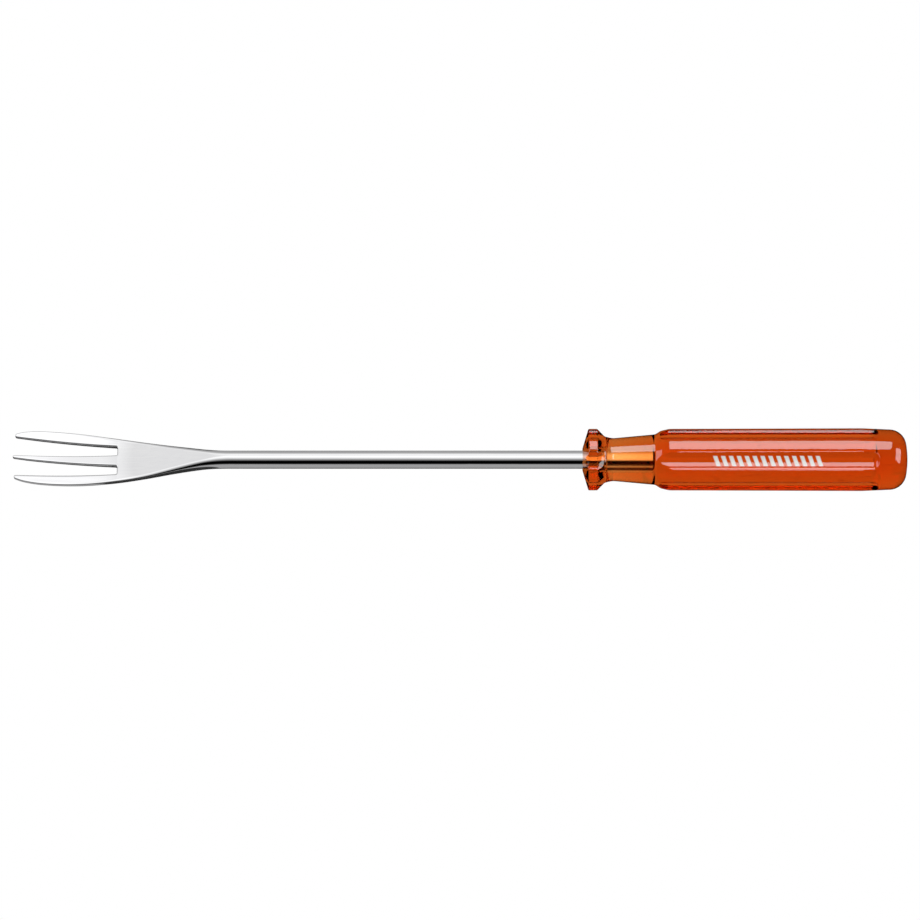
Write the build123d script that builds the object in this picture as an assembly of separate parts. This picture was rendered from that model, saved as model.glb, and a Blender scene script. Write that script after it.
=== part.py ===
from build123d import *
import math
import os

# Uncapping fork: a shaft with three flat tines, forged in one piece with the tang that the clear
# plastic handle is moulded round. Sizes are in millimetres.
# The tool is drawn along X from the tine tips at 0, round an axis at height 0, and placed at the
# end: +X runs to the butt, +Z out of the face of the fork, and the origin is under the middle of
# the tool, level with the lowest line of the handle.

# Driving dimensions
BLADE_LENGTH = 188.0  # tine tips to the front of the handle
HANDLE_LENGTH = 107.1
SHAFT_RADIUS = 3.0
COLLAR_RADIUS = 10.15
BODY_RADIUS = 10.35  # at the lands, where the handle is thickest
TANG_LENGTH = 24.0  # inside the handle: it ends where the handle widens into its body
TANG_CHAMFER = 0.6

# Fork head
HEAD_END = 74  # where the flattened head has become the round shaft
PALM_END = 72.0  # where the palm has grown as thick as the shaft
PALM_RISE_END = 65.0  # where the palm's middle has risen to the shaft's axis
RIM_END = 66.0  # where the rounding of the head's edges has run out into the shaft
SLOT_ROOT = 34.3
TIP_HEIGHT = 1.9  # of the middle of the tine tips above the shaft's axis
ROOT_DROP = 1.42  # of the palm below the shaft's axis, at the slot roots
TINE_THICKNESS = 1.4
TIP_THICKNESS = 1.2
TIP_TAPER = 12.0  # length over which a tine thins towards its tip
ROOT_THICKNESS = 2.0  # of the palm at the slot roots
DISH = 0.8  # rise of the outer tines' edges over the middle of the face
DISH_END = 46.0
BAND_HALF_WIDTH = 12.0
BAND_SPARE = 0.2  # by which the pressed layer is thicker than the shaft in the end, to clear it
BAND_STATIONS = range(-3, HEAD_END + 4, 8)
OUTER_TIP_SETBACK = 0.6  # the outer tines are a little shorter than the middle one
SLOT_CORNER = 0.5
TINE_EDGE = 0.2  # rounding of the head's edges
PALM_GROWTH = 1.7  # exponent: the palm stays thin near the slots and thickens late
HALF_WIDTHS = (  # distance from the tips, half width of the head
    (0.0, 7.95),
    (4.0, 9.15),
    (10.5, 9.75),
    (21.5, 9.45),
    (33.5, 8.1),
    (43.5, 6.5),
    (52.5, 4.87),
    (61.5, 3.58),
    (66.5, 3.12),
    (71.0, SHAFT_RADIUS),
    (HEAD_END, SHAFT_RADIUS),
)
MIDDLE_TINE_EDGE = ((-1.0, 0.4), (5.0, 0.8), (SLOT_ROOT, 1.97))
OUTER_TINE_EDGE = ((SLOT_ROOT, 5.05), (-1.0, 7.05))

# Handle profile: distance from the front of the handle, radius, corner radius
HANDLE_PROFILE = (
    (0.0, 3.7, 0.3),
    (1.95, COLLAR_RADIUS, 0.5),
    (4.85, COLLAR_RADIUS, 0.5),
    (7.3, 7.65, 1.5),
    (9.9, 7.05, 6.0),
    (24.0, 8.35, 1.5),
    (25.8, 9.5, 3.0),
    (28.6, COLLAR_RADIUS, 6.0),
    (92.3, BODY_RADIUS, 10.0),
    (106.2, 9.75, 5.5),
    (HANDLE_LENGTH, 3.0, 4.0),
)
FLUTE_COUNT = 6
FLUTE_RADIUS = 5.5
FLUTE_BOTTOM = 9.0  # distance of a flute's deepest line from the axis
FLUTE_END = 97.8
FLUTE_RUN_OUT = 2.4
FLUTE_PITCH = 360 / FLUTE_COUNT
FLUTE_START_ANGLE = FLUTE_PITCH / 2  # from +Z, so that a land lies at the top and at the bottom
LAND_EDGE = 0.35

# Printed band: slanted bars in the flute beside the top land, on the -Y side
PRINT_START = 42.7  # from the front of the handle
PRINT_LENGTH = 36.3
PRINT_HEIGHT = 3.4
PRINT_THICKNESS = 0.06
PRINT_BARS = 14
PRINT_BAR_WIDTH = 1.3
PRINT_SLANT = 20.0

TOTAL_LENGTH = BLADE_LENGTH + HANDLE_LENGTH
PLACE = Location((-TOTAL_LENGTH / 2, 0, BODY_RADIUS))


def middle_height(x):
    """Height of the middle of the head's thickness, on the centre line: a shallow S."""
    if x < SLOT_ROOT:
        return -ROOT_DROP + (TIP_HEIGHT + ROOT_DROP) * (1 - x / SLOT_ROOT) ** 2
    if x < PALM_RISE_END:
        along = (x - SLOT_ROOT) / (PALM_RISE_END - SLOT_ROOT)
        return -ROOT_DROP * (1 + math.cos(math.pi * along)) / 2
    return 0.0


def thickness(x):
    """Thickness of the flattened head: thin tips, even tines, and a palm that grows to the shaft."""
    if x < SLOT_ROOT:
        thickening = (ROOT_THICKNESS - TINE_THICKNESS) * (max(0, x) / SLOT_ROOT) ** 3
        thinning = (TINE_THICKNESS - TIP_THICKNESS) * max(0, 1 - x / TIP_TAPER) ** 2
        return TINE_THICKNESS + thickening - thinning
    along = (min(x, PALM_END) - SLOT_ROOT) / (PALM_END - SLOT_ROOT)
    growth = (along ** 2 * (3 - 2 * along)) ** PALM_GROWTH
    return ROOT_THICKNESS + (2 * SHAFT_RADIUS + BAND_SPARE - ROOT_THICKNESS) * growth


def dish(x):
    """Rise of the face at the head's widest half width."""
    return DISH * max(0.02, 1 - max(0, x / DISH_END) ** 2)


def dished(x, y):
    widest = max(w for _, w in HALF_WIDTHS)
    return dish(x) * (y / widest) ** 2


def band_section(x):
    """Cross-section of the layer that the head is pressed into: two arcs joined by straight sides."""
    low = middle_height(x) - thickness(x) / 2
    high = middle_height(x) + thickness(x) / 2
    rise = dished(x, BAND_HALF_WIDTH)
    w = BAND_HALF_WIDTH
    top = ThreePointArc((x, -w, high + rise), (x, 0, high), (x, w, high + rise))
    bottom = ThreePointArc((x, w, low + rise), (x, 0, low), (x, -w, low + rise))
    sides = [Line(top @ 1, bottom @ 0), Line(bottom @ 1, top @ 0)]
    return make_face([top, bottom, *sides])


def blank_section(x, half_width):
    """Cross-section of the blank before pressing: an oval as high as the shaft."""
    centre = middle_height(x) + dished(x, half_width) * (half_width > SHAFT_RADIUS)
    plane = Plane(origin=(x, 0, centre), x_dir=(0, 1, 0), z_dir=(1, 0, 0))
    return plane * Ellipse(half_width, SHAFT_RADIUS)


def slot():
    """The gap between the middle tine and the outer tine on the +Y side."""
    middle = Polyline(*MIDDLE_TINE_EDGE)
    outer = Polyline(*OUTER_TINE_EDGE)
    face = make_face([middle, Line(middle @ 1, outer @ 0), outer, Line(outer @ 1, middle @ 0)])
    corners = face.vertices().filter_by(lambda v: abs(v.X - SLOT_ROOT) < 0.01)
    face = fillet(corners, SLOT_CORNER)
    return Pos(0, 0, -10) * extrude(face, 20, dir=(0, 0, 1))


def outer_tip_trim():
    return Pos(OUTER_TIP_SETBACK - 5, 8, 0) * Box(10, 10, 20)


def is_rim(edge):
    """True for the edges round the two faces of the head, and the upright corners of the tips."""
    ends = [(edge @ 0).X, (edge @ 1).X]
    if edge.geom_type == GeomType.LINE:
        return max(ends) < 1
    return max(ends) < RIM_END


def fork_head():
    blank = loft([blank_section(x, w) for x, w in HALF_WIDTHS])
    band = loft([band_section(x) for x in BAND_STATIONS])
    head = blank & band
    for cut in (slot(), outer_tip_trim()):
        head = head - cut - mirror(cut, about=Plane.XZ)
    return fillet(head.edges().filter_by(is_rim), TINE_EDGE)


def fork_blade():
    length = BLADE_LENGTH + TANG_LENGTH - HEAD_END
    bar = Cylinder(SHAFT_RADIUS, length, align=(Align.CENTER, Align.CENTER, Align.MIN))
    bar = chamfer(bar.edges().sort_by(Axis.Z)[-1], TANG_CHAMFER)
    shaft = Pos(HEAD_END, 0, 0) * Rot(0, 90, 0) * bar
    return fork_head() + shaft


def flute_cutter():
    """A rod with a rounded end, lying where the flute at the top would be."""
    rod = Cylinder(FLUTE_RADIUS, FLUTE_END + 1, align=(Align.CENTER, Align.CENTER, Align.MIN))
    rod = fillet(rod.edges().sort_by(Axis.Z)[-1], FLUTE_RUN_OUT)
    rod = Rot(0, 90, 0) * rod
    return Pos(BLADE_LENGTH - 1, 0, FLUTE_BOTTOM + FLUTE_RADIUS) * rod


def flute_angles():
    return [FLUTE_START_ANGLE + i * FLUTE_PITCH for i in range(FLUTE_COUNT)]


def handle(tang):
    points = [(BLADE_LENGTH + x, r) for x, r, _ in HANDLE_PROFILE]
    start, end = (BLADE_LENGTH, 0), (TOTAL_LENGTH, 0)
    outline = FilletPolyline(start, *points, end, radius=[c for *_, c in HANDLE_PROFILE])
    body = revolve(make_face([outline, Line(end, start)]), Axis.X)
    for angle in flute_angles():
        body -= Rot(angle, 0, 0) * flute_cutter()
    lands = body.edges().filter_by(GeomType.BSPLINE).filter_by(lambda e: e.length > FLUTE_END / 2)
    return fillet(lands, LAND_EDGE) - tang


def handle_print():
    """A band of slanted bars, printed on the floor of one flute."""
    centre_x = BLADE_LENGTH + PRINT_START + PRINT_LENGTH / 2
    centre_z = FLUTE_BOTTOM + FLUTE_RADIUS
    outer = Cylinder(FLUTE_RADIUS, PRINT_LENGTH)
    inner = Cylinder(FLUTE_RADIUS - PRINT_THICKNESS, PRINT_LENGTH)
    layer = Pos(centre_x, 0, centre_z) * Rot(0, 90, 0) * (outer - inner)
    pitch = (PRINT_LENGTH - 2 * PRINT_BAR_WIDTH) / (PRINT_BARS - 1)
    bars = []
    for i in range(PRINT_BARS):
        x = centre_x + (i - (PRINT_BARS - 1) / 2) * pitch
        bar = Rot(0, 0, PRINT_SLANT) * Box(PRINT_BAR_WIDTH, 2 * PRINT_HEIGHT, 2)
        bar = bar & Box(4 * PRINT_BAR_WIDTH, PRINT_HEIGHT, 2)
        bars.append(layer & (Pos(x, 0, FLUTE_BOTTOM) * bar))
    return Rot(FLUTE_START_ANGLE, 0, 0) * Compound(children=bars)


def main():
    os.makedirs("parts", exist_ok=True)
    blade = fork_blade()
    nodes = {"fork_blade": blade, "handle": handle(blade), "handle_print": handle_print()}
    for name, shape in nodes.items():
        export_step(PLACE * shape, f"parts/{name}.step")


main()
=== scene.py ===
import math

import bmesh
import bpy
from mathutils import Matrix, Vector

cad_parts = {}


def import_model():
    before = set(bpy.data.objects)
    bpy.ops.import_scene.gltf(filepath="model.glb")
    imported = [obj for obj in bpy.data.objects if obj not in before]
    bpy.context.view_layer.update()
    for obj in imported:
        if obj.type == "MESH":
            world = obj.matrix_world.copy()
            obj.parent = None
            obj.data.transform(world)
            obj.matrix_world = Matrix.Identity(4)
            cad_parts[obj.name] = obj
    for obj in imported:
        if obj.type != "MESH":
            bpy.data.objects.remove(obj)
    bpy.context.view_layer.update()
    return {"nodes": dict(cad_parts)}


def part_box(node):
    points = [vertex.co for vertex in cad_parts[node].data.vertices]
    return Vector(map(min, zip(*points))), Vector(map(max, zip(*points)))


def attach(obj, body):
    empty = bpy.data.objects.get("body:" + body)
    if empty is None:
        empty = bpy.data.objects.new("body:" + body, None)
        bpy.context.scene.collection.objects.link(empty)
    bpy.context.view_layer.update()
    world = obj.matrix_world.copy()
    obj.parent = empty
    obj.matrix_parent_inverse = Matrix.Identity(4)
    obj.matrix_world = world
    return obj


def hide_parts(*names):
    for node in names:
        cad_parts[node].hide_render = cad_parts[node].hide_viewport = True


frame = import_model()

MM = 0.001
MICRON = 0.000001

# Places, from the frame
BLADE_LOW, BLADE_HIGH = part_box("fork_blade")
HANDLE_LOW, HANDLE_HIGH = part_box("handle")
TIP_X = BLADE_LOW.x
FRONT_X = HANDLE_LOW.x  # front of the handle
BUTT_X = HANDLE_HIGH.x
AXIS_Z = (HANDLE_LOW.z + HANDLE_HIGH.z) / 2

# Handle, in millimetres from its front: distance along it, radius, radius of the rounded corner
COLLAR_RADIUS = 10.15
BODY_RADIUS = 10.35
HANDLE_LENGTH = 107.1
HANDLE_PROFILE = (
    (0.0, 3.7, 0.3),
    (1.95, COLLAR_RADIUS, 0.5),
    (4.85, COLLAR_RADIUS, 0.5),
    (7.3, 7.65, 1.5),
    (9.9, 7.05, 6.0),
    (24.0, 8.35, 1.5),
    (25.8, 9.5, 3.0),
    (28.6, COLLAR_RADIUS, 6.0),
    (92.3, BODY_RADIUS, 10.0),
    (106.2, 9.75, 5.5),
    (HANDLE_LENGTH, 3.0, 4.0),
)
BORE_RADIUS = 3.003
BORE_LENGTH = 24.02
CAP_RADIUS = 0.02  # of the tiny discs that close the butt and the bore on the axis
FLUTE_COUNT = 6
FLUTE_PITCH = 360 / FLUTE_COUNT
FLUTE_RADIUS = 5.5
FLUTE_CENTRE = 14.5  # distance of the flute's own axis from the handle's
FLUTE_END = 97.8
FLUTE_RUN_OUT = 2.4
FLUTE_HALF_ANGLE = 16.2
EDGE_SOFTNESS = 0.3  # depth over which a flute's edge is rounded into the land

# Handle mesh
ARC_STEPS = 7  # along each rounded corner of the profile
LONGEST_STEP = 6.0  # in millimetres, between the rings of a straight stretch
RUN_OUT_STEPS = 16  # along the rounded end of a flute
EDGE_BAND = 2.6  # in degrees, on each side of a flute's edge, where the columns are crowded
LAND_COLUMNS = 5
EDGE_COLUMNS = 9
FLUTE_COLUMNS = 14

# Blade, in millimetres from the tine tips
SHAFT_RADIUS = 3.0
SHAFT_START = 74  # where the flattened head has become the round shaft
SLOT_ROOT = 34.3
SLOT_CORNER = 0.5
TIP_HEIGHT = 1.9
ROOT_DROP = 1.42
TINE_THICKNESS = 1.4
TIP_THICKNESS = 1.2
TIP_TAPER = 12.0
ROOT_THICKNESS = 2.0
PALM_END = 72.0  # where the palm has grown as thick as the shaft
PALM_RISE_END = 65.0  # where the palm's middle has risen to the shaft's axis
PALM_GROWTH = 1.3
DISH = 0.8
DISH_END = 46.0
WIDEST = 9.7  # half width of the head where it is dished deepest
OUTER_TIP_SETBACK = 0.6
MIDDLE_TINE_EDGE = ((0.0, 0.47), (5.0, 0.8), (SLOT_ROOT, 1.97))
OUTER_TINE_EDGE = ((0.0, 6.99), (SLOT_ROOT, 5.05))
# Distance from the tips, half width of the head
HALF_WIDTHS = (
    (0.0, 7.95), (4.0, 9.15), (10.5, 9.75), (21.5, 9.45), (33.5, 8.1), (43.5, 6.5),
    (52.5, 4.87), (61.5, 3.58), (66.5, 3.12), (71.0, SHAFT_RADIUS), (SHAFT_START, SHAFT_RADIUS),
)
# Margin of the head's outer edge: distance from the tips, width of the slope between face and edge
RIM_WIDTHS = (
    (0.0, 0.45), (27.0, 0.5), (36.0, 1.0), (45.0, 1.15),
    (56.0, 1.75), (61.6, 2.1), (67.0, 2.75), (70.0, 3.0),
)
SLOT_RIM = 0.45  # width of the same slope beside a slot
ROUNDING_START = 44  # from here to ROUNDING_END the head's upright sides become a half circle
ROUNDING_END = 64
# Exponents of the curve between an edge and the face: a steep wall, a soft way into the face, a circle
WALL = 5
FACE = 1.7
CIRCLE = 2
TANG_CHAMFER = 0.6

# Blade mesh. Lengths are in millimetres
TINE_COLUMNS = 12
MIDDLE_COLUMNS = 14
SLOT_COLUMNS = 8
TIP_ROWS = 7
TINE_ROWS = 46
CORNER_ROWS = 6
ROOT_ROWS = 12
ROOT_ROWS_LENGTH = 1.2  # of the palm just behind the slots, where the rows are crowded
PALM_ROWS = 78
CHAMFER_RING = 0.1  # before the tang's chamfer, a ring that keeps the long rows' shading straight
SLOPE_REACH = 0.2  # each way, over which the slope of the head's outline is measured
NEARLY_NOTHING = 0.000001
SAME_POINT = 0.0000001  # in metres, between points that are merged

# Steel
WORN_LENGTH = 45  # of the tines and the front of the palm, which go through the wax
SCRATCH_ROUGHNESS = 0.12

# Camera
ELEVATION = math.radians(63)
CAMERA_DISTANCE = 2.0
FRAME_WIDTH = 0.3038  # width of the picture at the tool
CAMERA_DROP = 0.00012  # of the aim below the tool's axis
SENSOR = 36.0

# Light tent: angle from the front horizon over the top to the back horizon, brightness there
TENT_LEVELS = (
    (0, 0.12), (5, 0.05), (14, 0.0), (46, 0.0), (62, 0.23), (78, 0.58), (92, 0.88), (100, 1.0), (108, 1.0),
    (113, 0.8), (121, 0.8), (127, 0.92), (135, 0.77), (150, 0.51), (160, 0.35), (180, 0.3),
)
# And from the tines' end of the tent to the butt's, as a direction along X
TENT_ALONG = (
    (-1, 0.81), (-0.5, 0.85), (-0.3, 0.75), (-0.15, 0.74),
    (-0.04, 0.88), (0.05, 0.89), (0.2, 1.0), (1, 0.67),
)
TENT_BRIGHTEST = 1.45
LAMP_RADIANCE = 1.8
LAMP_DISTANCE = 0.6
# Direction of the lamps past the handle's two ends: out along X, sideways along Y and up
END_LAMP_OUT = 0.8
END_LAMP_SIDE = -0.035
END_LAMP_UP = 0.6
FLOOR_REACH = 4  # in metres, each way from the middle
# The floor as the steel mirrors it: how bright it is in the tool's painted shadow and beside it
SHADOW_LEVELS = (0.03, 0.39)
SHADOW_REACH = (0.004, 0.01)  # from the centre line, beside the shaft and the handle
# How much wider the painted shadow is under the head: distance from the tips in millimetres, share of
# WIDEST_SHADOW
HEAD_SHADOW = ((0, 0.06), (31, 0.06), (37, 1.0), (54, 1.0), (68, 0.04), (80, 0.04))
WIDEST_SHADOW = 25
# The tent as the plastic bends it: angle over the top as above, brightness
THROUGH_LEVELS = (
    (0, 0.06), (12, 0.03), (18, 0.0), (46, 0.0), (64, 0.8),
    (80, 1.0), (110, 1.0), (140, 0.5), (180, 0.3),
)
# And how far it gives way to SIDE_LEVEL towards the tent's two ends, as a direction along X
THROUGH_SIDES = ((-1, 1.0), (-0.5, 1.0), (-0.3, 0.0), (0.3, 0.0), (0.5, 1.0), (1, 1.0))
SIDE_LEVEL = 0.3  # brightness of the tent's two ends, seen through the plastic
THROUGH_BRIGHTEST = 2.8
# The floor as the plastic bends it: a painted shade, dim in a strip in front of the tool. Millimetres along
# Y, brightness
FLOOR_THROUGH = ((-60, 0.8), (-38, 0.8), (-24, 0.06), (-11, 0.06), (-7.5, 1.0), (0, 1.0))


# Geometry helpers

def rounded(points):
    """The open outline through (x, r, corner radius) points, with each corner turned into an arc."""
    path = [Vector(points[0][:2])]
    for before, corner, after in zip(points, points[1:], points[2:]):
        p = Vector(corner[:2])
        back, ahead = (Vector(before[:2]) - p).normalized(), (Vector(after[:2]) - p).normalized()
        half = back.angle(ahead) / 2
        cut = corner[2] / math.tan(half)
        centre = p + (back + ahead).normalized() * corner[2] / math.sin(half)
        start, end = p + back * cut - centre, p + ahead * cut - centre
        for i in range(ARC_STEPS + 1):
            spoke = start.lerp(end, i / ARC_STEPS).normalized() * corner[2]
            path.append(centre + spoke)
    path.append(Vector(points[-1][:2]))
    return path


def subdivided(path, longest):
    """path with extra points, so that no step is longer than longest."""
    result = [path[0]]
    for a, b in zip(path, path[1:]):
        steps = max(1, math.ceil((b - a).length / longest))
        result += [a.lerp(b, i / steps) for i in range(1, steps + 1)]
    return result


def sorted_in(path, extra):
    """path with points added at the given distances, on the straight stretches that hold them."""
    result = [path[0]]
    for a, b in zip(path, path[1:]):
        for x in extra:
            if a.x + NEARLY_NOTHING < x < b.x - NEARLY_NOTHING:
                result.append(a.lerp(b, (x - a.x) / (b.x - a.x)))
        result.append(b)
    return result


def on_axis(x, r, angle):
    """A point of the handle in the frame. The angle is in degrees, from the top towards -Y."""
    turn = math.radians(angle)
    return (FRONT_X + x * MM, -r * MM * math.sin(turn), AXIS_Z + r * MM * math.cos(turn))


def flute_columns():
    """Angles of the grid's columns over one flute pitch, crowded at the flute's two edges."""
    inner, outer = FLUTE_HALF_ANGLE - EDGE_BAND, FLUTE_HALF_ANGLE + EDGE_BAND
    stops = [
        (-FLUTE_PITCH / 2, -outer, LAND_COLUMNS),
        (-outer, -inner, EDGE_COLUMNS),
        (-inner, inner, FLUTE_COLUMNS),
        (inner, outer, EDGE_COLUMNS),
        (outer, FLUTE_PITCH / 2, LAND_COLUMNS),
    ]
    return [low + (high - low) * i / n for low, high, n in stops for i in range(n)]


def flute_depth(angle, x):
    """Radius that the flute nearest to angle cuts down to at x, or None where it doesn't reach."""
    reach = FLUTE_RADIUS
    into_end = x - (FLUTE_END - FLUTE_RUN_OUT)
    if into_end > 0:
        if into_end >= FLUTE_RUN_OUT:
            return None
        reach += math.sqrt(FLUTE_RUN_OUT ** 2 - into_end ** 2) - FLUTE_RUN_OUT
    across = FLUTE_CENTRE * math.sin(math.radians(angle))
    if abs(across) >= reach:
        return None
    return FLUTE_CENTRE * math.cos(math.radians(angle)) - math.sqrt(reach ** 2 - across ** 2)


def soft_min(a, b, softness):
    """The smaller of a and b, eased where they differ by less than softness."""
    overlap = max(softness - abs(a - b), 0) / softness
    return min(a, b) - overlap * overlap * softness / 4


def grid_faces(rings, columns):
    """Quads between neighbouring rings of a closed grid, numbered ring by ring."""
    faces = []
    for i in range(rings - 1):
        for j in range(columns):
            k = (j + 1) % columns
            faces.append((i * columns + j, i * columns + k, (i + 1) * columns + k, (i + 1) * columns + j))
    return faces


def new_object(name, vertices, faces):
    mesh = bpy.data.meshes.new(name)
    mesh.from_pydata(vertices, [], faces)
    bm = bmesh.new()
    bm.from_mesh(mesh)
    bmesh.ops.recalc_face_normals(bm, faces=bm.faces)
    bm.to_mesh(mesh)
    bm.free()
    for polygon in mesh.polygons:
        polygon.use_smooth = True
    obj = bpy.data.objects.new(name, mesh)
    bpy.context.scene.collection.objects.link(obj)
    return obj


# The blade's shape, in millimetres: u from the tips, y across, heights from the shaft's axis

def smooth_through(points, u):
    """Height at u of a smooth curve through the points."""
    if u >= points[-1][0]:
        return points[-1][1]
    i = max(k for k, (x, _) in enumerate(points) if x <= u)

    def slope(k):
        a, b = points[max(k - 1, 0)], points[min(k + 1, len(points) - 1)]
        return (b[1] - a[1]) / (b[0] - a[0])

    (x0, y0), (x1, y1) = points[i], points[i + 1]
    span, t = x1 - x0, (u - x0) / (x1 - x0)
    bend = (2 * t ** 3 - 3 * t ** 2 + 1) * y0 + (3 * t ** 2 - 2 * t ** 3) * y1
    return bend + span * ((t ** 3 - 2 * t ** 2 + t) * slope(i) + (t ** 3 - t ** 2) * slope(i + 1))


def straight_through(points, u):
    """Height at u of the straight lines through the points."""
    for (x0, y0), (x1, y1) in zip(points, points[1:]):
        if u <= x1:
            return y0 + (y1 - y0) * (u - x0) / (x1 - x0)
    return points[-1][1]


def smoothstep(low, high, value):
    t = min(1, max(0, (value - low) / (high - low)))
    return t * t * (3 - 2 * t)


def mix(a, b, share):
    return a + (b - a) * share


def half_width(u):
    return smooth_through(HALF_WIDTHS, u)


def middle_height(u):
    if u < SLOT_ROOT:
        return -ROOT_DROP + (TIP_HEIGHT + ROOT_DROP) * (1 - u / SLOT_ROOT) ** 2
    if u < PALM_RISE_END:
        along = (u - SLOT_ROOT) / (PALM_RISE_END - SLOT_ROOT)
        return -ROOT_DROP * (1 + math.cos(math.pi * along)) / 2
    return 0.0


def dished(u, y):
    return DISH * max(0, 1 - (u / DISH_END) ** 2) * (y / WIDEST) ** 2


def thickness(u):
    if u < SLOT_ROOT:
        thickening = (ROOT_THICKNESS - TINE_THICKNESS) * (u / SLOT_ROOT) ** 3
        thinning = (TINE_THICKNESS - TIP_THICKNESS) * max(0, 1 - u / TIP_TAPER) ** 2
        return TINE_THICKNESS + thickening - thinning
    return mix(ROOT_THICKNESS, 2 * SHAFT_RADIUS, smoothstep(SLOT_ROOT, PALM_END, u) ** PALM_GROWTH)


def edge_profile(depth, rim, start, end):
    """Share of the full thickness at a distance in from an edge. start shapes the way up from the
    edge, from a knife edge at 1 to a wall at 5 or more, and end the way into the flat face."""
    inward = 1 - min(1, max(0, depth) / rim)
    return max(0, 1 - inward ** end) ** (1 / start)


def outer_profile(u, depth, widest):
    """Tines and palm have upright sides, and the shaft is a half circle."""
    rim = min(straight_through(RIM_WIDTHS, u), widest)
    roundness = smoothstep(ROUNDING_START, ROUNDING_END, u)
    return edge_profile(depth, rim, mix(WALL, CIRCLE, roundness), mix(FACE, CIRCLE, roundness))


def slot_profile(depth, widest):
    return edge_profile(depth, min(SLOT_RIM, widest), WALL, FACE)


def cosine_steps(count):
    return [(1 - math.cos(math.pi * i / count)) / 2 for i in range(count + 1)]


def two_sided(u, y, share):
    """The point of the upper face and the point of the lower face at a place in the plan."""
    half = thickness(u) / 2 * share
    centre = middle_height(u) + dished(u, y)
    return (u, y, centre + half), (u, y, centre - half)


def slot_depth(u, y):
    """Distance of a place in the palm or a tine from the nearer slot, which has rounded corners."""
    inner, outer = straight_through(MIDDLE_TINE_EDGE, u), straight_through(OUTER_TINE_EDGE, u)
    half, centre = (outer - inner) / 2, (outer + inner) / 2
    along = u - (SLOT_ROOT - SLOT_CORNER)
    across = abs(abs(y) - centre) - (half - SLOT_CORNER)
    if along <= 0:
        return across - SLOT_CORNER
    return math.hypot(along, max(across, 0)) - SLOT_CORNER


def rim_depth(u, y):
    """Distance of a place in the plan from the head's outer edge."""
    rise = half_width(u + SLOPE_REACH) - half_width(max(u - SLOPE_REACH, 0))
    slope = rise / (2 * SLOPE_REACH)
    return (half_width(u) - abs(y)) / math.hypot(1, slope)


def corner_reach(u):
    """How far a slot's rounded corner has come in from the slot's side."""
    into = max(0, u - (SLOT_ROOT - SLOT_CORNER))
    return SLOT_CORNER - math.sqrt(max(0, SLOT_CORNER ** 2 - into ** 2))


def tine_sides(side, u):
    """The two edges of a tine in the plan. side is -1, 0 or 1."""
    reach = corner_reach(u)
    inner = straight_through(MIDDLE_TINE_EDGE, u) + reach
    if side == 0:
        return -inner, inner
    outer = straight_through(OUTER_TINE_EDGE, u) - reach
    edges = (outer, half_width(u))
    return edges if side > 0 else (-edges[1], -edges[0])


def tine_rows(start):
    """Distances along a tine, crowded at its rounded tip and in the slot's rounded corners, and the
    radius of its tip."""
    low, high = tine_sides(1 if start else 0, start)
    tip = (high - low) / 2
    turns = [math.pi / 2 * i / TIP_ROWS for i in range(TIP_ROWS + 1)]
    rows = [start + tip * (1 - math.cos(turn)) for turn in turns]
    corner = SLOT_ROOT - SLOT_CORNER
    rows += [mix(rows[-1], corner, i / TINE_ROWS) for i in range(1, TINE_ROWS + 1)]
    turns = [math.pi / 2 * i / CORNER_ROWS for i in range(1, CORNER_ROWS + 1)]
    rows += [corner + SLOT_CORNER * math.sin(turn) for turn in turns]
    return rows, tip


def tine(side):
    """Rows of (upper point, lower point) along one tine, from its tip to the slot's root."""
    start = OUTER_TIP_SETBACK if side else 0.0
    rows, tip = tine_rows(start)
    steps = cosine_steps(TINE_COLUMNS if side else MIDDLE_COLUMNS)
    grid = []
    for u in rows:
        low, high = tine_sides(side, u)
        centre, half = (low + high) / 2, (high - low) / 2
        short = max(0, 1 - (u - start) / tip)
        narrowing = math.sqrt(max(0, 1 - short ** 2))
        row = []
        for step in steps:
            across = half * (2 * step - 1) * narrowing
            y = centre + across
            share = slot_profile(slot_depth(u, y), half)
            if short > 0:
                share = slot_profile(tip * (1 - math.hypot(short, across / half)), half)
            elif side != 0:
                share = min(share, outer_profile(u, rim_depth(u, y), half))
            on_rim = step in (steps[0], steps[-1]) or narrowing == 0
            row.append(two_sided(u, y, 0 if on_rim else share))
        grid.append(row)
    return grid


def root_columns():
    """Places across the palm at the slots' root, as shares of its half width."""
    width = half_width(SLOT_ROOT)
    stops = [tine_sides(side, SLOT_ROOT) for side in (-1, 0, 1)]
    columns = []
    for (low, high), count in zip(stops, (TINE_COLUMNS, MIDDLE_COLUMNS, TINE_COLUMNS)):
        if columns:
            gap = low / width - columns[-1]
            columns += [columns[-1] + gap * i / SLOT_COLUMNS for i in range(1, SLOT_COLUMNS)]
        columns += [mix(low, high, step) / width for step in cosine_steps(count)]
    return columns


def palm():
    """Rows of (upper point, lower point) from the slots' root to the round shaft."""
    at_root = root_columns()
    count = len(at_root) - 1
    round_columns = [math.sin(math.pi * (i / count - 0.5)) for i in range(count + 1)]
    rows = [SLOT_ROOT + ROOT_ROWS_LENGTH * (i / ROOT_ROWS) ** 2 for i in range(ROOT_ROWS + 1)]
    rows += [mix(rows[-1], SHAFT_START, i / PALM_ROWS) for i in range(1, PALM_ROWS + 1)]
    grid = []
    for u in rows:
        share = smoothstep(SLOT_ROOT, PALM_END, u)
        width = half_width(u)
        row = []
        for i, (a, b) in enumerate(zip(at_root, round_columns)):
            y = width * mix(a, b, share)
            thinning = outer_profile(u, rim_depth(u, y), width)
            if u < SLOT_ROOT + SLOT_RIM:
                depth = slot_depth(u, y)
                thinning = min(thinning, slot_profile(depth if depth > NEARLY_NOTHING else 0, width))
            row.append(two_sided(u, y, 0 if i in (0, count) else thinning))
        grid.append(row)
    return grid


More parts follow.
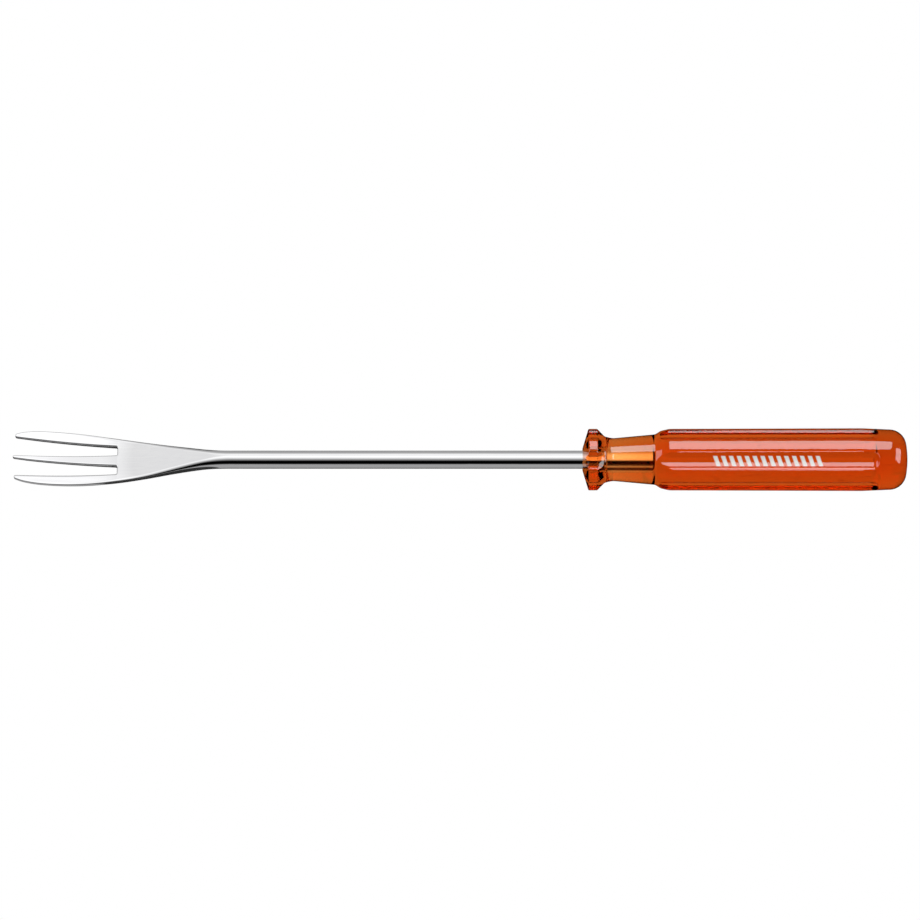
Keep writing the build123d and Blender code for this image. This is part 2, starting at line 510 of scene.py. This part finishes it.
def shaft_rows(count):
    """Rows of the round shaft and tang, with the same columns as the palm's last row."""
    length = (BLADE_HIGH.x - BLADE_LOW.x) / MM
    handle_front = (FRONT_X - TIP_X) / MM
    straight = [mix(SHAFT_START, handle_front, share) for share in (1 / 3, 2 / 3, 1)]
    straight += [length - TANG_CHAMFER - CHAMFER_RING, length - TANG_CHAMFER]
    stations = [(u, SHAFT_RADIUS) for u in straight]
    stations += [(length, SHAFT_RADIUS - TANG_CHAMFER), (length, 0.0)]
    grid = []
    angles = [math.pi * (i / count - 0.5) for i in range(count + 1)]
    for u, r in stations:
        arc = [(r * math.sin(a), r * math.cos(a)) for a in angles]
        grid.append([((u, y, z), (u, y, -z)) for y, z in arc])
    return grid


def on_blade(u, y, z):
    """A point of the blade in the frame."""
    return (TIP_X + u * MM, y * MM, AXIS_Z + z * MM)


def blade_piece():
    """The forged blade as one closed mesh: both faces of each tine, the palm, the shaft and the tang."""
    bm = bmesh.new()
    palm_and_shaft = palm()
    palm_and_shaft += shaft_rows(len(palm_and_shaft[0]) - 1)
    for grid in (tine(-1), tine(0), tine(1), palm_and_shaft):
        for face in (0, 1):
            points = [[bm.verts.new(on_blade(*pair[face])) for pair in row] for row in grid]
            for row, following in zip(points, points[1:]):
                for i in range(len(row) - 1):
                    bm.faces.new((row[i], row[i + 1], following[i + 1], following[i]))
    bmesh.ops.remove_doubles(bm, verts=bm.verts, dist=SAME_POINT)
    bmesh.ops.dissolve_degenerate(bm, edges=bm.edges, dist=SAME_POINT)
    bmesh.ops.recalc_face_normals(bm, faces=bm.faces)
    for face in bm.faces:
        face.smooth = True
    mesh = bpy.data.meshes.new("forged_blade")
    bm.to_mesh(mesh)
    bm.free()
    obj = bpy.data.objects.new("forged_blade", mesh)
    bpy.context.scene.collection.objects.link(obj)
    mesh.materials.append(polished_chrome())
    return obj


# Material helpers

class Nodes:
    """Adds nodes and links to one material or world, whose tree it empties first."""

    def __init__(self, tree):
        self.tree = tree
        tree.nodes.clear()

    def add(self, kind, **settings):
        node = self.tree.nodes.new(kind)
        for key, value in settings.items():
            setattr(node, key, value)
        return node

    def link(self, output, socket):
        self.tree.links.new(output, socket)


def new_material(name):
    material = bpy.data.materials.new(name)
    material.use_nodes = True
    return material, Nodes(material.node_tree)


def stretched_noise(n, scale, stretch, detail=3.0):
    """Noise in the tool's own coordinates, drawn out along the directions where stretch is small."""
    place = n.add("ShaderNodeTexCoord")
    mapping = n.add("ShaderNodeMapping")
    mapping.inputs["Scale"].default_value = stretch
    n.link(place.outputs["Object"], mapping.inputs["Vector"])
    noise = n.add("ShaderNodeTexNoise")
    noise.inputs["Scale"].default_value = scale
    noise.inputs["Detail"].default_value = detail
    n.link(mapping.outputs["Vector"], noise.inputs["Vector"])
    return noise.outputs["Fac"]


def mapped(n, value, low, high, from_low=0.3, from_high=0.7):
    """low where value is from_low or less, high where it is from_high or more, and straight between."""
    node = n.add("ShaderNodeMapRange")
    node.inputs["From Min"].default_value = from_low
    node.inputs["From Max"].default_value = from_high
    node.inputs["To Min"].default_value = low
    node.inputs["To Max"].default_value = high
    n.link(value, node.inputs["Value"])
    return node.outputs["Result"]


def curve(n, share, points, span):
    """A colour ramp through (place, grey level) points. share runs from 0 to 1 over the span."""
    ramp = n.add("ShaderNodeValToRGB")
    elements = ramp.color_ramp.elements
    while len(elements) < len(points):
        elements.new(0.5)
    for element, (place, level) in zip(elements, points):
        element.position = (place - span[0]) / (span[1] - span[0])
        element.color = (level, level, level, 1)
    n.link(share, ramp.inputs["Fac"])
    return ramp.outputs["Color"]


def mixed(n, share, a, b):
    """Colour a where share is 0 and b where it is 1. Each is a socket or a colour."""
    node = n.add("ShaderNodeMix")
    node.data_type = "RGBA"
    n.link(share, node.inputs["Factor"])
    for value, socket in ((a, node.inputs[6]), (b, node.inputs[7])):
        if isinstance(value, tuple):
            socket.default_value = (*value, 1)
        else:
            n.link(value, socket)
    return node.outputs[2]


def times(n, a, b):
    product = n.add("ShaderNodeMath", operation="MULTIPLY")
    n.link(a, product.inputs[0])
    n.link(b, product.inputs[1])
    return product.outputs["Value"]


def bumped(n, height, distance, below=None):
    """The normal over a relief as high as distance, in metres, laid on the relief below."""
    bump = n.add("ShaderNodeBump")
    bump.inputs["Strength"].default_value = 1.0
    bump.inputs["Distance"].default_value = distance
    n.link(height, bump.inputs["Height"])
    if below is not None:
        n.link(below, bump.inputs["Normal"])
    return bump.outputs["Normal"]


def along_tool(n, low, high, start, end):
    """A value that goes from low at x = start to high at x = end, in metres in the frame."""
    place = n.add("ShaderNodeTexCoord")
    parts = n.add("ShaderNodeSeparateXYZ")
    n.link(place.outputs["Object"], parts.inputs["Vector"])
    return mapped(n, parts.outputs["X"], low, high, start, end)


# Materials

def polished_chrome():
    material, n = new_material("polished_steel")
    out = n.add("ShaderNodeOutputMaterial")
    shader = n.add("ShaderNodeBsdfPrincipled")
    shader.inputs["Metallic"].default_value = 1.0
    # Plating: even, a little duller in patches and along the polishing lines
    patches = stretched_noise(n, 70, (0.5, 1, 1))
    polish = stretched_noise(n, 1400, (0.04, 1, 1), detail=5)
    dull, bright = (0.82, 0.82, 0.835), (0.87, 0.87, 0.875)
    plating = mixed(n, mapped(n, times(n, patches, polish), 0, 1, 0.12, 0.4), dull, bright)
    n.link(plating, shader.inputs["Base Color"])
    # Worn by wax and scraping towards the tips
    worn = along_tool(n, 1, 0, TIP_X, TIP_X + WORN_LENGTH * MM)
    scratches = mapped(n, stretched_noise(n, 2600, (0.02, 1, 1), detail=2), 0, 1, 0.56, 0.66)
    rough = mapped(n, polish, 0.02, 0.06)
    scuffed = n.add("ShaderNodeMath", operation="MULTIPLY_ADD")
    n.link(times(n, worn, scratches), scuffed.inputs[0])
    scuffed.inputs[1].default_value = SCRATCH_ROUGHNESS
    n.link(rough, scuffed.inputs[2])
    n.link(scuffed.outputs["Value"], shader.inputs["Roughness"])
    # Relief: slow waves left by forging, polishing lines and hairline scratches
    waves = bumped(n, stretched_noise(n, 90, (0.6, 1, 1), detail=1), 6 * MICRON)
    lines = bumped(n, polish, 1.2 * MICRON, below=waves)
    n.link(bumped(n, scratches, MICRON, below=lines), shader.inputs["Normal"])
    n.link(shader.outputs["BSDF"], out.inputs["Surface"])
    return material


def on_lands(n):
    """1 on the handle's lands and collar, which a hand and a bench touch, and 0 in the flutes and
    the neck."""
    place = n.add("ShaderNodeTexCoord")
    mapping = n.add("ShaderNodeMapping")
    mapping.inputs["Location"].default_value = (0, 0, -AXIS_Z)
    mapping.inputs["Scale"].default_value = (0, 1, 1)
    n.link(place.outputs["Object"], mapping.inputs["Vector"])
    radius = n.add("ShaderNodeVectorMath", operation="LENGTH")
    n.link(mapping.outputs["Vector"], radius.inputs[0])
    return mapped(n, radius.outputs["Value"], 0, 1, (COLLAR_RADIUS - 0.5) * MM, COLLAR_RADIUS * MM)


def clear_orange():
    material, n = new_material("orange_plastic")
    out = n.add("ShaderNodeOutputMaterial")
    shader = n.add("ShaderNodeBsdfPrincipled")
    shader.inputs["Transmission Weight"].default_value = 1.0
    shader.inputs["IOR"].default_value = 1.48
    shader.inputs["Specular Tint"].default_value = (0.25, 0.25, 0.25, 1)
    shader.inputs["Roughness"].default_value = 0
    shader.inputs["Coat Weight"].default_value = 1
    shader.inputs["Coat Roughness"].default_value = 0
    shader.inputs["Coat IOR"].default_value = 2.2
    # Colour: faint streaks along the handle and, on the lands, duller scuffs
    streaks = stretched_noise(n, 260, (0.05, 1, 1), detail=4)
    scuffs = mapped(n, stretched_noise(n, 1900, (0.12, 1, 1)), 0, 1, 0.6, 0.7)
    worn = times(n, scuffs, on_lands(n))
    clear = mixed(n, mapped(n, streaks, 0, 1), (0.94, 0.91, 0.74), (1, 1, 0.84))
    n.link(mixed(n, worn, clear, (0.8, 0.74, 0.7)), shader.inputs["Base Color"])
    # Relief: slow ripples, fine turning marks and, on the lands, scuffs
    ripples = bumped(n, stretched_noise(n, 120, (0.5, 1, 1), detail=1), 8 * MICRON)
    turned = bumped(n, stretched_noise(n, 1500, (1, 0.2, 0.2), detail=2), 0.6 * MICRON, below=ripples)
    relief = bumped(n, worn, 1.5 * MICRON, below=turned)
    n.link(relief, shader.inputs["Normal"])
    n.link(relief, shader.inputs["Coat Normal"])
    n.link(shader.outputs["BSDF"], out.inputs["Surface"])
    tint = n.add("ShaderNodeVolumeAbsorption")
    tint.inputs["Color"].default_value = (0.93, 0.53, 0.06, 1)
    tint.inputs["Density"].default_value = 300
    n.link(tint.outputs["Volume"], out.inputs["Volume"])
    return material


def bore_wall():
    """The plastic grips the steel with no air between, so its bore bends no light."""
    material, n = new_material("bore_wall")
    out = n.add("ShaderNodeOutputMaterial")
    n.link(n.add("ShaderNodeBsdfTransparent").outputs["BSDF"], out.inputs["Surface"])
    return material


def white_print():
    material, n = new_material("white_print")
    out = n.add("ShaderNodeOutputMaterial")
    shader = n.add("ShaderNodeBsdfPrincipled")
    # Foil on the plastic: thin in specks, where the orange shows a little, and dulled by hands
    specks = mapped(n, stretched_noise(n, 2400, (1, 1, 1), detail=4), 0, 1, 0.55, 0.72)
    thin = mapped(n, stretched_noise(n, 420, (1, 1, 1), detail=2), 0, 1, 0.35, 0.65)
    foil = mixed(n, times(n, specks, thin), (0.92, 0.9, 0.88), (0.85, 0.55, 0.42))
    n.link(foil, shader.inputs["Base Color"])
    n.link(mapped(n, thin, 0.4, 0.62, 0, 1), shader.inputs["Roughness"])
    n.link(bumped(n, specks, 8 * MICRON), shader.inputs["Normal"])
    n.link(shader.outputs["BSDF"], out.inputs["Surface"])
    return material


# Pieces

def handle_rings():
    """Distance and radius of each ring of the handle's mesh: from the bore's end out to the front, and
    along the outside to the butt."""
    profile = [(0.0, BORE_RADIUS, 0.0), *HANDLE_PROFILE, (HANDLE_LENGTH, CAP_RADIUS, 0.0)]
    shares = [i / RUN_OUT_STEPS for i in range(RUN_OUT_STEPS + 1)]
    run_out = [FLUTE_END - FLUTE_RUN_OUT * (1 - share) for share in shares]
    outside = sorted_in(subdivided(rounded(profile), LONGEST_STEP), run_out)
    return [(BORE_LENGTH, CAP_RADIUS), (BORE_LENGTH, BORE_RADIUS), *outside]


def handle_piece():
    """The handle as one closed mesh, with a clear wall round the tang."""
    offsets = flute_columns() * FLUTE_COUNT
    columns = len(offsets)
    rings = handle_rings()
    vertices = []
    for x, radius in rings:
        for j, offset in enumerate(offsets):
            cut = flute_depth(offset, x)
            r = radius if cut is None else soft_min(radius, cut, EDGE_SOFTNESS)
            flute = j * FLUTE_COUNT // columns
            vertices.append(on_axis(x, r, FLUTE_PITCH / 2 + flute * FLUTE_PITCH + offset))
    bore_end, butt = [tuple(ring * columns + j for j in range(columns)) for ring in (0, len(rings) - 1)]
    obj = new_object("handle_grip", vertices, [bore_end, *grid_faces(len(rings), columns), butt])
    obj.data.materials.append(clear_orange())
    obj.data.materials.append(bore_wall())
    for polygon in obj.data.polygons[:1 + 2 * columns]:
        polygon.material_index = 1
    return obj


# Stage

def unmirrored(n, path):
    """0 for rays off the mirror-smooth plastic, which only the lamps are to show in, and 1 for others."""
    polished = n.add("ShaderNodeMath", operation="SUBTRACT", use_clamp=True)
    n.link(path.outputs["Is Singular Ray"], polished.inputs[0])
    n.link(path.outputs["Is Transmission Ray"], polished.inputs[1])
    return mapped(n, polished.outputs["Value"], 1, 0, 0, 1)


def tool_shadow(n, parts):
    """Brightness of the floor as the steel mirrors it: a painted shadow, dark under the tool and wider
    under the head.
    """
    off_centre = n.add("ShaderNodeMath", operation="ABSOLUTE")
    n.link(parts.outputs["Y"], off_centre.inputs[0])
    reach = HEAD_SHADOW[-1][0]
    from_tips = mapped(n, parts.outputs["X"], 0, 1, TIP_X, TIP_X + reach * MM)
    wider = curve(n, from_tips, HEAD_SHADOW, (0, reach))
    beside = n.add("ShaderNodeMath", operation="DIVIDE")
    n.link(off_centre.outputs["Value"], beside.inputs[0])
    n.link(mapped(n, wider, 0, WIDEST_SHADOW, 0, 1), beside.inputs[1])
    return mapped(n, beside.outputs["Value"], *SHADOW_LEVELS, *SHADOW_REACH)


def bent_floor(n, parts):
    """Brightness of the floor as the plastic bends it, with a painted shade in a strip in front of the
    tool.
    """
    span = (FLOOR_THROUGH[0][0], FLOOR_THROUGH[-1][0])
    across = mapped(n, parts.outputs["Y"], 0, 1, span[0] * MM, span[1] * MM)
    return curve(n, across, FLOOR_THROUGH, span)


def floor():
    """White where it is seen directly, and dimmer, with painted shadows, where the steel mirrors it or the
    plastic bends it.
    """
    corners = [(x * FLOOR_REACH, y * FLOOR_REACH, 0) for x, y in ((-1, -1), (1, -1), (1, 1), (-1, 1))]
    obj = new_object("floor", corners, [(0, 1, 2, 3)])
    material, n = new_material("floor")
    out = n.add("ShaderNodeOutputMaterial")
    seen = n.add("ShaderNodeEmission")
    seen.inputs["Strength"].default_value = 1.0
    place = n.add("ShaderNodeTexCoord")
    parts = n.add("ShaderNodeSeparateXYZ")
    n.link(place.outputs["Object"], parts.inputs["Vector"])
    path = n.add("ShaderNodeLightPath")
    mirrored = n.add("ShaderNodeEmission")
    # painted shadow: the glow the steel mirrors is turned down under and beside the tool
    n.link(times(n, tool_shadow(n, parts), unmirrored(n, path)), mirrored.inputs["Strength"])
    through = n.add("ShaderNodeEmission")
    # painted shade: the glow the plastic bends is turned down in a strip in front of the tool
    n.link(bent_floor(n, parts), through.inputs["Strength"])
    indirect = n.add("ShaderNodeMixShader")
    n.link(path.outputs["Is Transmission Ray"], indirect.inputs["Fac"])
    n.link(mirrored.outputs["Emission"], indirect.inputs[1])
    n.link(through.outputs["Emission"], indirect.inputs[2])
    blend = n.add("ShaderNodeMixShader")
    n.link(path.outputs["Is Glossy Ray"], blend.inputs["Fac"])
    n.link(seen.outputs["Emission"], blend.inputs[1])
    n.link(indirect.outputs["Shader"], blend.inputs[2])
    n.link(blend.outputs["Shader"], out.inputs["Surface"])
    obj.data.materials.append(material)


def world():
    """A tent of light round the tool: the colour depends on the angle from the front horizon, over the
    top, to the back horizon."""
    w = bpy.data.worlds.new("studio")
    bpy.context.scene.world = w
    w.use_nodes = True
    n = Nodes(w.node_tree)
    out = n.add("ShaderNodeOutputWorld")
    background = n.add("ShaderNodeBackground")
    place = n.add("ShaderNodeTexCoord")
    parts = n.add("ShaderNodeSeparateXYZ")
    n.link(place.outputs["Generated"], parts.inputs["Vector"])
    front = n.add("ShaderNodeMath", operation="MULTIPLY")
    front.inputs[1].default_value = -1
    n.link(parts.outputs["Y"], front.inputs[0])
    polar = n.add("ShaderNodeMath", operation="ARCTAN2")
    n.link(parts.outputs["Z"], polar.inputs[0])
    n.link(front.outputs["Value"], polar.inputs[1])
    share = n.add("ShaderNodeMath", operation="DIVIDE")
    share.inputs[1].default_value = math.pi
    n.link(polar.outputs["Value"], share.inputs[0])
    path = n.add("ShaderNodeLightPath")
    bent = path.outputs["Is Transmission Ray"]
    tent = curve(n, share.outputs["Value"], TENT_LEVELS, (0, 180))
    through = curve(n, share.outputs["Value"], THROUGH_LEVELS, (0, 180))
    from_end_to_end = mapped(n, parts.outputs["X"], 0, 1, -1, 1)
    sides = curve(n, from_end_to_end, THROUGH_SIDES, (-1, 1))
    lightened = mixed(n, sides, through, (SIDE_LEVEL, SIDE_LEVEL, SIDE_LEVEL))
    n.link(mixed(n, bent, tent, lightened), background.inputs["Color"])
    along = curve(n, from_end_to_end, TENT_ALONG, (-1, 1))
    brightness = mapped(n, bent, TENT_BRIGHTEST, THROUGH_BRIGHTEST, 0, 1)
    strength = times(n, times(n, along, brightness), unmirrored(n, path))
    n.link(strength, background.inputs["Strength"])
    n.link(background.outputs["Background"], out.inputs["Surface"])


def lamp_targets(*pieces):
    """The pieces that the lamps light. The steel is lit by the tent and the floor alone."""
    group = bpy.data.collections.new("lamp_targets")
    for piece in pieces:
        group.objects.link(piece)
    return group


def softbox(name, targets, direction, length, width, x, radiance=LAMP_RADIANCE):
    """A rectangular lamp that faces the handle's axis at x. It lights its targets alone, and it
    doesn't show through the plastic."""
    lamp = bpy.data.lights.new(name, "AREA")
    lamp.shape = "RECTANGLE"
    lamp.size = length
    lamp.size_y = width
    lamp.energy = radiance * math.pi * length * width
    obj = bpy.data.objects.new(name, lamp)
    bpy.context.scene.collection.objects.link(obj)
    back = direction.normalized()
    obj.location = Vector((x, 0, AXIS_Z)) + back * LAMP_DISTANCE
    across = Vector((1, 0, 0)) if abs(direction.x) < 0.5 else Vector((direction.z, 0, -direction.x))
    across = (across - across.dot(back) * back).normalized()
    obj.rotation_euler = Matrix((across, back.cross(across), back)).transposed().to_euler()
    obj.light_linking.receiver_collection = targets
    obj.visible_transmission = False


def overhead(polar):
    """Direction at an angle from the front horizon over the top."""
    turn = math.radians(polar)
    return Vector((0, -math.cos(turn), math.sin(turn)))


def camera():
    data = bpy.data.cameras.new("camera")
    data.sensor_width = SENSOR
    data.lens = SENSOR * CAMERA_DISTANCE / FRAME_WIDTH
    data.clip_start = 0.01
    data.clip_end = 50
    obj = bpy.data.objects.new("camera", data)
    bpy.context.scene.collection.objects.link(obj)
    towards = Vector((0, -math.cos(ELEVATION), math.sin(ELEVATION)))
    picture_up = Vector((0, math.sin(ELEVATION), math.cos(ELEVATION)))
    target = Vector(((TIP_X + BUTT_X) / 2, 0, AXIS_Z)) - CAMERA_DROP * picture_up
    obj.location = target + CAMERA_DISTANCE * towards
    obj.rotation_euler = (math.pi / 2 - ELEVATION, 0, 0)
    bpy.context.scene.camera = obj


bpy.context.scene.view_settings.view_transform = "Standard"
camera()
world()
floor()

blade = blade_piece()
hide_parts("fork_blade")
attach(blade, "root")
marking = frame["nodes"]["handle_print"]
marking.data.materials.clear()
marking.data.materials.append(white_print())
grip = handle_piece()
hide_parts("handle")
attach(grip, "root")

lit = lamp_targets(grip, marking)
past_butt = Vector((END_LAMP_OUT, END_LAMP_SIDE, END_LAMP_UP))
past_front = Vector((-END_LAMP_OUT, END_LAMP_SIDE, END_LAMP_UP))
softbox("softbox_back", lit, overhead(119), length=0.35, width=0.36, x=0.1)
softbox("softbox_top", lit, overhead(79.5), length=0.093, width=0.28, x=0.1305)
softbox("softbox_butt", lit, past_butt, length=0.4, width=0.5, x=BUTT_X)
softbox("softbox_front", lit, past_front, length=0.4, width=0.4, x=FRONT_X, radiance=LAMP_RADIANCE / 2)
